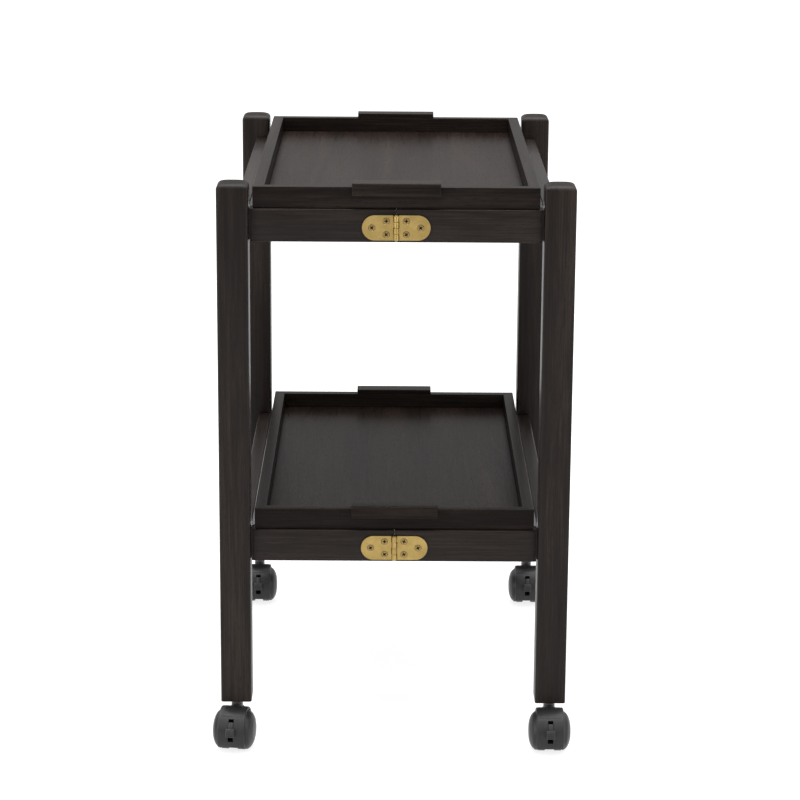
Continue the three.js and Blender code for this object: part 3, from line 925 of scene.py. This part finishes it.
def axle_rod():
    half = AXLE_ROD["half"]
    return along_x(disc(AXLE_ROD["radius"], -half, half, AXLE_ROD["chamfer"]))


def casters():
    """Each caster stands under its leg, turned so that its wheels are where the CAD has them."""
    for side, side_sign in SIDES.items():
        for end in ENDS:
            name = f"{end}_{side}"
            low, high = cart_box(f"{name}_leg")
            wheel_low, wheel_high = cart_box(f"{name}_caster_wheels")
            foot = Vector(((low.x + high.x) / 2, (low.y + high.y) / 2, 0))
            centre = (wheel_low + wheel_high) / 2
            turn = math.atan2(centre.x - foot.x, foot.y - centre.y)
            place = Matrix.Translation(foot) @ Matrix.Rotation(turn, 4, "Z")
            parts = (
                ("hood", hood(), "hood", "caster", "caster_plastic", ["caster_hood"]),
                ("stem", stem(), "stem", "caster", "caster_plastic", []),
                ("wheel_outer", wheel(side_sign), "wheel", "wheels", "wheel_plastic", ["caster_wheels"]),
                ("wheel_inner", wheel(-side_sign), "wheel", "wheels", "wheel_plastic", []),
                ("axle", axle_rod(), "stem", "wheels", "wheel_plastic", []),
                ("lever", lever(), "lever", "brake", "caster_plastic", ["brake_lever"]),
            )
            for part, bm, look, body, slot, nodes in parts:
                replaced = [f"{name}_{node}" for node in nodes]
                piece(f"{name}_{part}", bm, look, f"{name}_{body}", replaced, CASTER_SMOOTH, place)


# ---------------------------------------------------------------- end hinges
def end_leaves():
    """The hidden end hinges keep their CAD leaves, in a near-black steel colour that paints the gap between
    leg and bar dark: painted shade.
    """
    for name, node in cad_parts.items():
        if name.endswith(("_leg_leaf", "_bar_leaf")):
            node.data.materials.clear()
            node.data.materials.append(MATERIALS["blackened"])


# ---------------------------------------------------------------- floor and light
def glowing(name, strength):
    n = Nodes(name)
    n.set("Emission Color", WHITE)
    n.set("Emission Strength", strength)
    return n


def floor():
    """A matt white sheet over a light table, so that the cart's shadow stays faint."""
    n = glowing("floor", FLOOR_GLOW)
    n.set("Base Color", n.between(n.noise(object_place(n), 3, detail=3), FLOOR_TONES))
    n.set("Roughness", 0.9)
    n.set("Specular IOR Level", 0.1)
    bm = bmesh.new()
    bmesh.ops.create_grid(bm, x_segments=1, y_segments=1, size=FLOOR_HALF)
    plane = to_object(bm, "floor")
    plane.data.materials.append(n.material)


def backdrop():
    """A round wall of white paper, far out. Only the camera sees it, so the dome still lights the cart."""
    n = glowing("backdrop", 1.0)
    n.set("Base Color", BLACK)
    n.set("Specular IOR Level", 0.0)
    radius, height = BACKDROP["radius"], BACKDROP["height"]
    bm = bmesh.new()
    bmesh.ops.create_cone(
        bm, segments=BACKDROP["segments"], radius1=radius, radius2=radius, depth=height, cap_ends=False
    )
    wall = to_object(bm, "backdrop")
    wall.data.materials.append(n.material)
    wall.visible_diffuse = False
    wall.visible_glossy = False
    wall.visible_transmission = False
    wall.visible_shadow = False


def area_light(name, place, target, size, power):
    data = bpy.data.lights.new(name, "AREA")
    data.shape = "RECTANGLE"
    data.size, data.size_y = size
    data.energy = power
    light = bpy.data.objects.new(name, data)
    bpy.context.scene.collection.objects.link(light)
    direction = Vector(target) - Vector(place)
    light.rotation_euler = direction.to_track_quat("-Z", "Y").to_euler()
    light.location = place


def lights():
    """A white dome that is brightest overhead and dimmer towards the horizon, with three soft panels."""
    world = bpy.data.worlds.new("studio")
    world.use_nodes = True
    tree = world.node_tree
    direction = tree.nodes.new("ShaderNodeTexCoord").outputs["Generated"]
    parts = tree.nodes.new("ShaderNodeSeparateXYZ")
    strength = tree.nodes.new("ShaderNodeMapRange")
    for name, value in zip(("From Min", "From Max", "To Min", "To Max"), (*DOME_HEIGHTS, *DOME_STRENGTH)):
        strength.inputs[name].default_value = value
    tree.links.new(direction, parts.inputs[0])
    tree.links.new(parts.outputs["Z"], strength.inputs["Value"])
    tree.links.new(strength.outputs[0], tree.nodes["Background"].inputs["Strength"])
    tree.nodes["Background"].inputs["Color"].default_value = WHITE
    bpy.context.scene.world = world
    for name, settings in PANEL_LIGHTS.items():
        area_light(name, *settings)


add_camera()
for end_name in ENDS:
    for side_name in SIDES:
        leg(end_name, side_name)
rails_and_bars()
trays()
centre_hinges()
casters()
end_leaves()
floor()
backdrop()
lights()
bpy.context.scene.view_settings.view_transform = "Standard"
